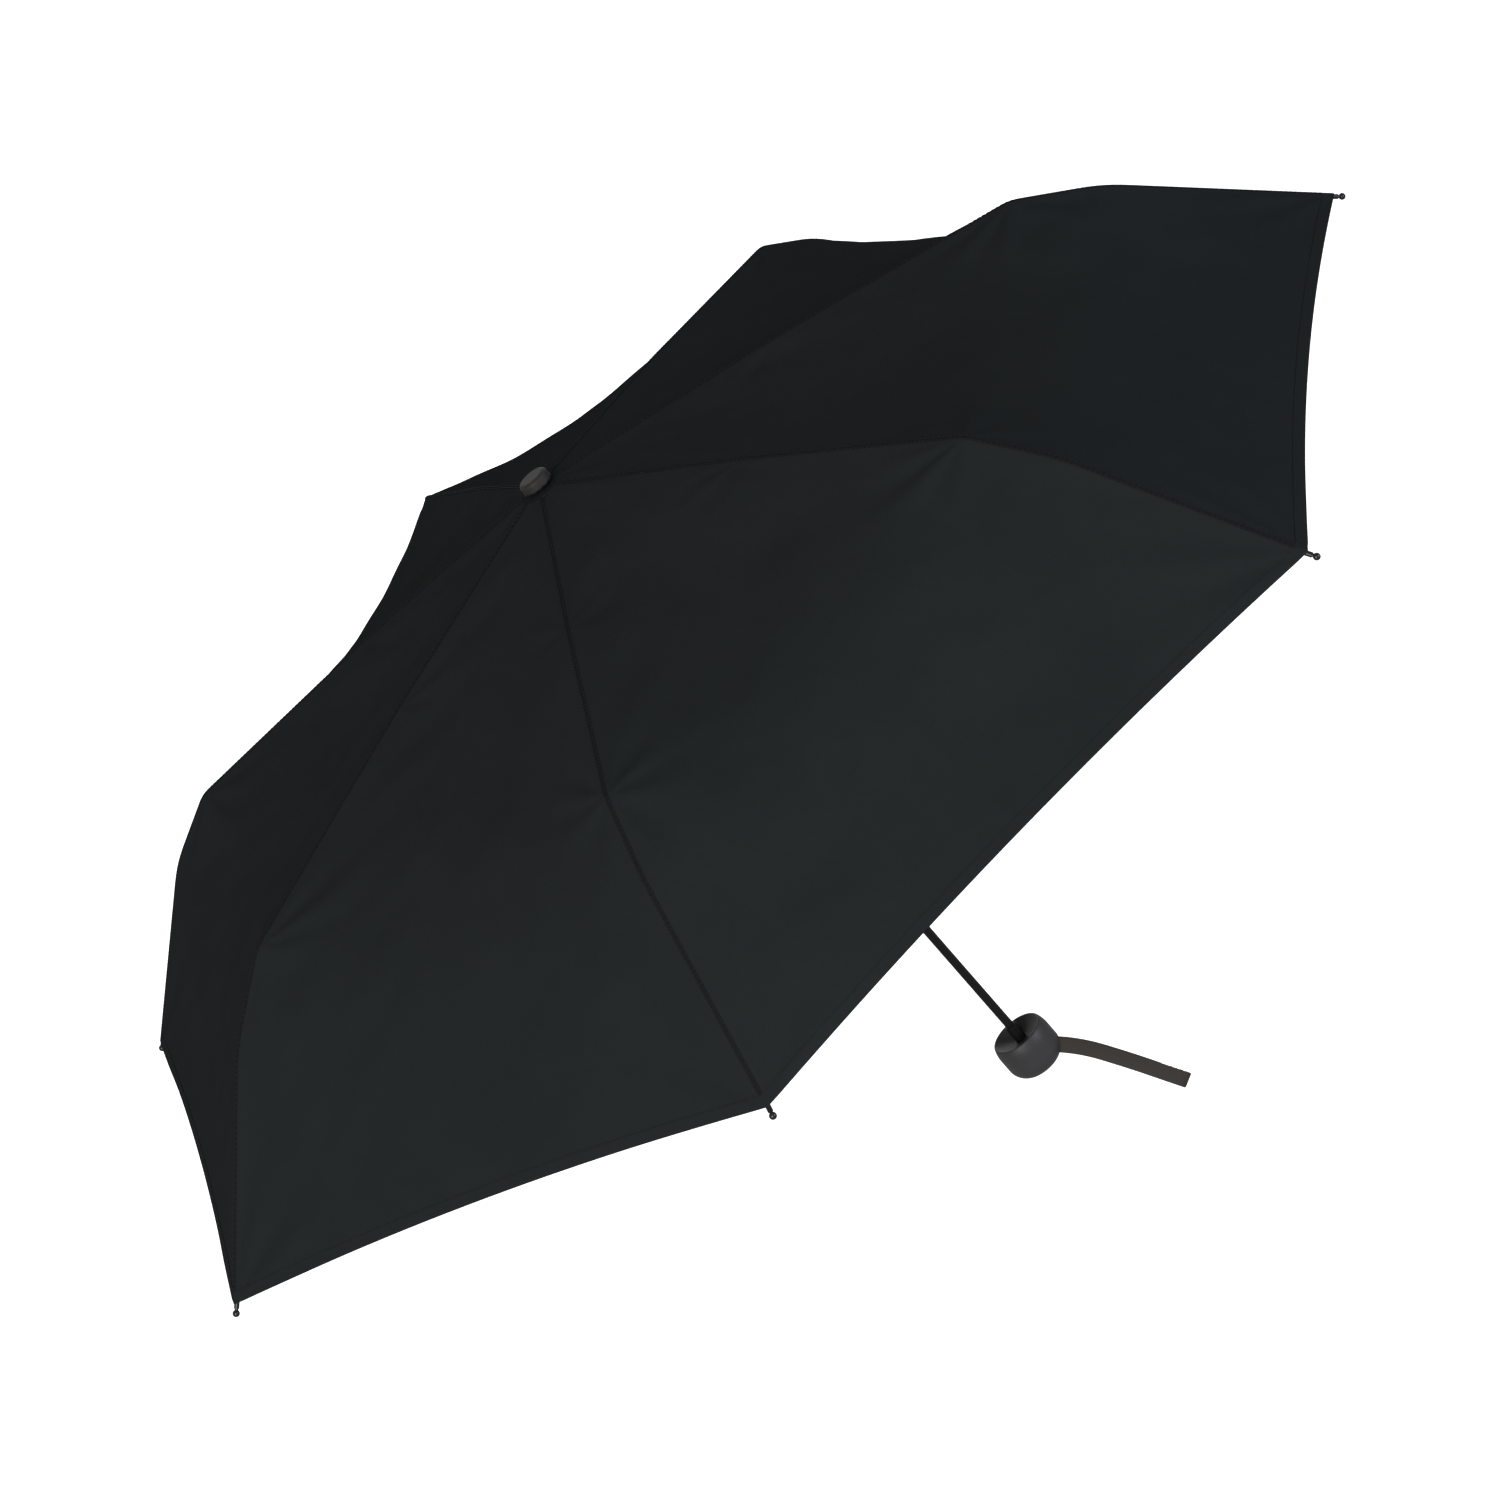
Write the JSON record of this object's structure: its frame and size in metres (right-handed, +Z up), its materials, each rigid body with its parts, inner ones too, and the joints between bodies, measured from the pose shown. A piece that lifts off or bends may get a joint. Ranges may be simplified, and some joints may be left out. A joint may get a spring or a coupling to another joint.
{
  "type": "folding umbrella",
  "caption": "Compact folding umbrella, open: faceted cloth canopy on hinged ribs, telescopic shaft, sliding runner, round grip and wrist strap.",
  "frame": {"origin": "centre of the grip, on the axis of the shaft", "axes": "+Z up the shaft from the grip to the canopy; +X in the plane of the first rib; right-handed"},
  "size_m": [0.9414, 0.9656, 0.5929],
  "materials": {
    "grip_plastic": "matt, dark warm grey",
    "collar_plastic": "satin black",
    "strap_band": "matt, dark brownish grey",
    "shaft_paint": "satin black",
    "wire_steel": "bright wire",
    "crown_plastic": "satin black",
    "cap_plastic": "matt, dark warm grey",
    "washer_plastic": "matt black",
    "canopy_cloth": "fine plain weave, near black",
    "rib_paint": "satin black",
    "rod_composite": "satin black",
    "tip_plastic": "gloss black"
  },
  "bodies": {
    "grip": {"handle": "grip_plastic", "handle_collar": "collar_plastic", "handle_plug": "grip_plastic", "strap_pin": "wire_steel", "strap": "strap_band", "lower_tube": "shaft_paint"},
    "middle_shaft": {"middle_tube": "shaft_paint"},
    "upper_shaft": {"upper_tube": "shaft_paint", "crown": "crown_plastic", "crown_wire": "wire_steel", "cap": "cap_plastic", "cap_washer": "washer_plastic", "canopy": "canopy_cloth"},
    "slider": {"runner": "crown_plastic", "runner_wire": "wire_steel"},
    "release_button": {"runner_button": "collar_plastic"},
    "inner_rib_1": {"inner_rib_1": "rib_paint"},
    "middle_rib_1": {"middle_rib_1": "rib_paint"},
    "outer_rib_1": {"outer_rib_1": "rod_composite", "rib_tip_1": "tip_plastic"},
    "stretcher_1": {"stretcher_1": "rib_paint"},
    "inner_rib_2": {"inner_rib_2": "rib_paint"},
    "middle_rib_2": {"middle_rib_2": "rib_paint"},
    "outer_rib_2": {"outer_rib_2": "rod_composite", "rib_tip_2": "tip_plastic"},
    "stretcher_2": {"stretcher_2": "rib_paint"},
    "inner_rib_3": {"inner_rib_3": "rib_paint"},
    "middle_rib_3": {"middle_rib_3": "rib_paint"},
    "outer_rib_3": {"outer_rib_3": "rod_composite", "rib_tip_3": "tip_plastic"},
    "stretcher_3": {"stretcher_3": "rib_paint"},
    "inner_rib_4": {"inner_rib_4": "rib_paint"},
    "middle_rib_4": {"middle_rib_4": "rib_paint"},
    "outer_rib_4": {"outer_rib_4": "rod_composite", "rib_tip_4": "tip_plastic"},
    "stretcher_4": {"stretcher_4": "rib_paint"},
    "inner_rib_5": {"inner_rib_5": "rib_paint"},
    "middle_rib_5": {"middle_rib_5": "rib_paint"},
    "outer_rib_5": {"outer_rib_5": "rod_composite", "rib_tip_5": "tip_plastic"},
    "stretcher_5": {"stretcher_5": "rib_paint"},
    "inner_rib_6": {"inner_rib_6": "rib_paint"},
    "middle_rib_6": {"middle_rib_6": "rib_paint"},
    "outer_rib_6": {"outer_rib_6": "rod_composite", "rib_tip_6": "tip_plastic"},
    "stretcher_6": {"stretcher_6": "rib_paint"},
    "inner_rib_7": {"inner_rib_7": "rib_paint"},
    "middle_rib_7": {"middle_rib_7": "rib_paint"},
    "outer_rib_7": {"outer_rib_7": "rod_composite", "rib_tip_7": "tip_plastic"},
    "stretcher_7": {"stretcher_7": "rib_paint"}
  },
  "joints": [
    {"name": "lower_tube_slide", "type": "slide", "parent": "grip", "child": "middle_shaft", "axis": [0, 0, 1], "range_m": [-0.1385, 0]},
    {"name": "upper_tube_slide", "type": "slide", "parent": "middle_shaft", "child": "upper_shaft", "axis": [0, 0, 1], "range_m": [-0.1385, 0]},
    {"name": "runner_slide", "type": "slide", "parent": "upper_shaft", "child": "slider", "axis": [0, 0, -1], "range_m": [0, 0.12889], "deforming": ["canopy"]},
    {"name": "release_button_press", "type": "slide", "parent": "slider", "child": "release_button", "axis": [1, 0, 0], "range_m": [0, 0.001], "stiffness_N_per_m": 400},
    {"name": "crown_hinge_1", "type": "hinge", "parent": "upper_shaft", "child": "inner_rib_1", "pos_m": [0.008, 0, 0.4996], "axis": [0, 1, 0], "range_deg": [0, 81.12]},
    {"name": "first_fold_1", "type": "hinge", "parent": "inner_rib_1", "child": "middle_rib_1", "pos_m": [0.16635, 0, 0.47663], "axis": [0, 1, 0], "range_deg": [-178.32, 0]},
    {"name": "second_fold_1", "type": "hinge", "parent": "middle_rib_1", "child": "outer_rib_1", "pos_m": [0.33082, 0, 0.44218], "axis": [0, 1, 0], "range_deg": [0, 150.72]},
    {"name": "stretcher_hinge_1", "type": "hinge", "parent": "slider", "child": "stretcher_1", "pos_m": [0.009, 0, 0.4455], "axis": [0, 1, 0], "range_deg": [-65.4, 0]},
    {"name": "crown_hinge_2", "type": "hinge", "parent": "upper_shaft", "child": "inner_rib_2", "pos_m": [0.00499, -0.00626, 0.4996], "axis": [0.7818, 0.6235, 0], "range_deg": [0, 81.12]},
    {"name": "first_fold_2", "type": "hinge", "parent": "inner_rib_2", "child": "middle_rib_2", "pos_m": [0.10372, -0.13006, 0.47663], "axis": [0.7818, 0.6235, 0], "range_deg": [-178.32, 0]},
    {"name": "second_fold_2", "type": "hinge", "parent": "middle_rib_2", "child": "outer_rib_2", "pos_m": [0.20627, -0.25865, 0.44218], "axis": [0.7818, 0.6235, 0], "range_deg": [0, 150.72]},
    {"name": "stretcher_hinge_2", "type": "hinge", "parent": "slider", "child": "stretcher_2", "pos_m": [0.00561, -0.00704, 0.4455], "axis": [0.7818, 0.6235, 0], "range_deg": [-65.4, 0]},
    {"name": "crown_hinge_3", "type": "hinge", "parent": "upper_shaft", "child": "inner_rib_3", "pos_m": [-0.00178, -0.0078, 0.4996], "axis": [0.9749, -0.2225, 0], "range_deg": [0, 81.12]},
    {"name": "first_fold_3", "type": "hinge", "parent": "inner_rib_3", "child": "middle_rib_3", "pos_m": [-0.03702, -0.16218, 0.47663], "axis": [0.9749, -0.2225, 0], "range_deg": [-178.32, 0]},
    {"name": "second_fold_3", "type": "hinge", "parent": "middle_rib_3", "child": "outer_rib_3", "pos_m": [-0.07361, -0.32253, 0.44218], "axis": [0.9749, -0.2225, 0], "range_deg": [0, 150.72]},
    {"name": "stretcher_hinge_3", "type": "hinge", "parent": "slider", "child": "stretcher_3", "pos_m": [-0.002, -0.00877, 0.4455], "axis": [0.9749, -0.2225, 0], "range_deg": [-65.4, 0]},
    {"name": "crown_hinge_4", "type": "hinge", "parent": "upper_shaft", "child": "inner_rib_4", "pos_m": [-0.00721, -0.00347, 0.4996], "axis": [0.4339, -0.901, 0], "range_deg": [0, 81.12]},
    {"name": "first_fold_4", "type": "hinge", "parent": "inner_rib_4", "child": "middle_rib_4", "pos_m": [-0.14988, -0.07218, 0.47663], "axis": [0.4339, -0.901, 0], "range_deg": [-178.32, 0]},
    {"name": "second_fold_4", "type": "hinge", "parent": "middle_rib_4", "child": "outer_rib_4", "pos_m": [-0.29806, -0.14354, 0.44218], "axis": [0.4339, -0.901, 0], "range_deg": [0, 150.72]},
    {"name": "stretcher_hinge_4", "type": "hinge", "parent": "slider", "child": "stretcher_4", "pos_m": [-0.00811, -0.00391, 0.4455], "axis": [0.4339, -0.901, 0], "range_deg": [-65.4, 0]},
    {"name": "crown_hinge_5", "type": "hinge", "parent": "upper_shaft", "child": "inner_rib_5", "pos_m": [-0.00721, 0.00347, 0.4996], "axis": [-0.4339, -0.901, 0], "range_deg": [0, 81.12]},
    {"name": "first_fold_5", "type": "hinge", "parent": "inner_rib_5", "child": "middle_rib_5", "pos_m": [-0.14988, 0.07218, 0.47663], "axis": [-0.4339, -0.901, 0], "range_deg": [-178.32, 0]},
    {"name": "second_fold_5", "type": "hinge", "parent": "middle_rib_5", "child": "outer_rib_5", "pos_m": [-0.29806, 0.14354, 0.44218], "axis": [-0.4339, -0.901, 0], "range_deg": [0, 150.72]},
    {"name": "stretcher_hinge_5", "type": "hinge", "parent": "slider", "child": "stretcher_5", "pos_m": [-0.00811, 0.00391, 0.4455], "axis": [-0.4339, -0.901, 0], "range_deg": [-65.4, 0]},
    {"name": "crown_hinge_6", "type": "hinge", "parent": "upper_shaft", "child": "inner_rib_6", "pos_m": [-0.00178, 0.0078, 0.4996], "axis": [-0.9749, -0.2225, 0], "range_deg": [0, 81.12]},
    {"name": "first_fold_6", "type": "hinge", "parent": "inner_rib_6", "child": "middle_rib_6", "pos_m": [-0.03702, 0.16218, 0.47663], "axis": [-0.9749, -0.2225, 0], "range_deg": [-178.32, 0]},
    {"name": "second_fold_6", "type": "hinge", "parent": "middle_rib_6", "child": "outer_rib_6", "pos_m": [-0.07361, 0.32253, 0.44218], "axis": [-0.9749, -0.2225, 0], "range_deg": [0, 150.72]},
    {"name": "stretcher_hinge_6", "type": "hinge", "parent": "slider", "child": "stretcher_6", "pos_m": [-0.002, 0.00877, 0.4455], "axis": [-0.9749, -0.2225, 0], "range_deg": [-65.4, 0]},
    {"name": "crown_hinge_7", "type": "hinge", "parent": "upper_shaft", "child": "inner_rib_7", "pos_m": [0.00499, 0.00626, 0.4996], "axis": [-0.7818, 0.6235, 0], "range_deg": [0, 81.12]},
    {"name": "first_fold_7", "type": "hinge", "parent": "inner_rib_7", "child": "middle_rib_7", "pos_m": [0.10372, 0.13006, 0.47663], "axis": [-0.7818, 0.6235, 0], "range_deg": [-178.32, 0]},
    {"name": "second_fold_7", "type": "hinge", "parent": "middle_rib_7", "child": "outer_rib_7", "pos_m": [0.20627, 0.25865, 0.44218], "axis": [-0.7818, 0.6235, 0], "range_deg": [0, 150.72]},
    {"name": "stretcher_hinge_7", "type": "hinge", "parent": "slider", "child": "stretcher_7", "pos_m": [0.00561, 0.00704, 0.4455], "axis": [-0.7818, 0.6235, 0], "range_deg": [-65.4, 0]}
  ],
  "couplings": [
    {"joint": "crown_hinge_1", "follows": "runner_slide", "rad_per_m": 10.982},
    {"joint": "first_fold_1", "follows": "runner_slide", "rad_per_m": -24.143},
    {"joint": "second_fold_1", "follows": "runner_slide", "rad_per_m": 20.406},
    {"joint": "stretcher_hinge_1", "follows": "runner_slide", "rad_per_m": -8.8527},
    {"joint": "crown_hinge_2", "follows": "runner_slide", "rad_per_m": 10.982},
    {"joint": "first_fold_2", "follows": "runner_slide", "rad_per_m": -24.143},
    {"joint": "second_fold_2", "follows": "runner_slide", "rad_per_m": 20.406},
    {"joint": "stretcher_hinge_2", "follows": "runner_slide", "rad_per_m": -8.8527},
    {"joint": "crown_hinge_3", "follows": "runner_slide", "rad_per_m": 10.982},
    {"joint": "first_fold_3", "follows": "runner_slide", "rad_per_m": -24.143},
    {"joint": "second_fold_3", "follows": "runner_slide", "rad_per_m": 20.406},
    {"joint": "stretcher_hinge_3", "follows": "runner_slide", "rad_per_m": -8.8527},
    {"joint": "crown_hinge_4", "follows": "runner_slide", "rad_per_m": 10.982},
    {"joint": "first_fold_4", "follows": "runner_slide", "rad_per_m": -24.143},
    {"joint": "second_fold_4", "follows": "runner_slide", "rad_per_m": 20.406},
    {"joint": "stretcher_hinge_4", "follows": "runner_slide", "rad_per_m": -8.8527},
    {"joint": "crown_hinge_5", "follows": "runner_slide", "rad_per_m": 10.982},
    {"joint": "first_fold_5", "follows": "runner_slide", "rad_per_m": -24.143},
    {"joint": "second_fold_5", "follows": "runner_slide", "rad_per_m": 20.406},
    {"joint": "stretcher_hinge_5", "follows": "runner_slide", "rad_per_m": -8.8527},
    {"joint": "crown_hinge_6", "follows": "runner_slide", "rad_per_m": 10.982},
    {"joint": "first_fold_6", "follows": "runner_slide", "rad_per_m": -24.143},
    {"joint": "second_fold_6", "follows": "runner_slide", "rad_per_m": 20.406},
    {"joint": "stretcher_hinge_6", "follows": "runner_slide", "rad_per_m": -8.8527},
    {"joint": "crown_hinge_7", "follows": "runner_slide", "rad_per_m": 10.982},
    {"joint": "first_fold_7", "follows": "runner_slide", "rad_per_m": -24.143},
    {"joint": "second_fold_7", "follows": "runner_slide", "rad_per_m": 20.406},
    {"joint": "stretcher_hinge_7", "follows": "runner_slide", "rad_per_m": -8.8527}
  ]
}
